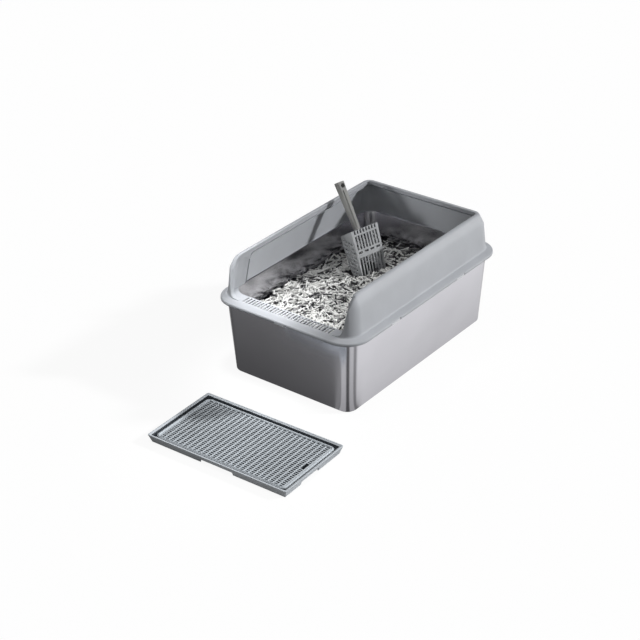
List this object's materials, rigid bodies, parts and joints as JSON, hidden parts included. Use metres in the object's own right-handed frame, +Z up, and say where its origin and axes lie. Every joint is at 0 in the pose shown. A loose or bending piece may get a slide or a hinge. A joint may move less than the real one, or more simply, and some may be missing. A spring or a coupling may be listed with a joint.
{
  "type": "stainless steel litter box set",
  "caption": "Deep steel litter tub with a clip-on plastic splash enclosure, slotted entrance sill, pellet litter, slotted scoop and a foot mat tray with a lift-out grid.",
  "frame": {"origin": "middle of the steel tub's flat underside", "axes": "+Z up, +Y along the tub towards its back wall, the entrance and the foot mat are at -Y, +X across to the right seen from the entrance"},
  "size_m": [0.4546, 0.9123, 0.331],
  "materials": {
    "stainless_steel": "satin brushed",
    "enclosure_plastic": "satin grey moulding",
    "litter_pellets": "loose pale and grey stick pellets",
    "scoop_plastic": "satin grey moulding",
    "handle_plastic": "satin warm grey",
    "mat_plastic": "satin grey moulding",
    "grid_plastic": "satin light grey"
  },
  "bodies": {
    "tub": {"steel_tub": "stainless_steel", "litter_bed": "litter_pellets"},
    "enclosure": {"enclosure": "enclosure_plastic"},
    "latch_right_front": {"latch_right_front": "enclosure_plastic"},
    "latch_right_rear": {"latch_right_rear": "enclosure_plastic"},
    "latch_left_front": {"latch_left_front": "enclosure_plastic"},
    "latch_left_rear": {"latch_left_rear": "enclosure_plastic"},
    "latch_front": {"latch_front": "enclosure_plastic"},
    "latch_back": {"latch_back": "enclosure_plastic"},
    "scoop": {"scoop_head": "scoop_plastic", "scoop_handle": "handle_plastic"},
    "mat": {"mat_tray": "mat_plastic"},
    "grid": {"mat_grid": "grid_plastic"}
  },
  "joints": [
    {"name": "enclosure_lift", "type": "slide", "parent": "tub", "child": "enclosure", "axis": [0, 0, 1], "range_m": [0, 0.12]},
    {"name": "latch_right_front_bend", "type": "hinge", "parent": "enclosure", "child": "latch_right_front", "pos_m": [0.2012, -0.139, 0.1895], "axis": [0, -1, 0], "range_deg": [0, 12], "stiffness_Nm_per_rad": 0.2},
    {"name": "latch_right_rear_bend", "type": "hinge", "parent": "enclosure", "child": "latch_right_rear", "pos_m": [0.2012, 0.119, 0.1895], "axis": [0, -1, 0], "range_deg": [0, 12], "stiffness_Nm_per_rad": 0.2},
    {"name": "latch_left_front_bend", "type": "hinge", "parent": "enclosure", "child": "latch_left_front", "pos_m": [-0.2012, -0.139, 0.1895], "axis": [0, 1, 0], "range_deg": [0, 12], "stiffness_Nm_per_rad": 0.2},
    {"name": "latch_left_rear_bend", "type": "hinge", "parent": "enclosure", "child": "latch_left_rear", "pos_m": [-0.2012, 0.119, 0.1895], "axis": [0, 1, 0], "range_deg": [0, 12], "stiffness_Nm_per_rad": 0.2},
    {"name": "latch_front_bend", "type": "hinge", "parent": "enclosure", "child": "latch_front", "pos_m": [0, -0.3, 0.1895], "axis": [-1, 0, 0], "range_deg": [0, 12], "stiffness_Nm_per_rad": 0.2},
    {"name": "latch_back_bend", "type": "hinge", "parent": "enclosure", "child": "latch_back", "pos_m": [0, 0.3, 0.1895], "axis": [1, 0, 0], "range_deg": [0, 12], "stiffness_Nm_per_rad": 0.2},
    {"name": "scoop_lift", "type": "slide", "parent": "tub", "child": "scoop", "axis": [0, 0, 1], "range_m": [0, 0.2]},
    {"name": "mat_pull", "type": "slide", "parent": "tub", "child": "mat", "axis": [0, -1, 0], "range_m": [0, 0.1]},
    {"name": "grid_lift", "type": "slide", "parent": "mat", "child": "grid", "axis": [0, 0, 1], "range_m": [0, 0.08]}
  ]
}
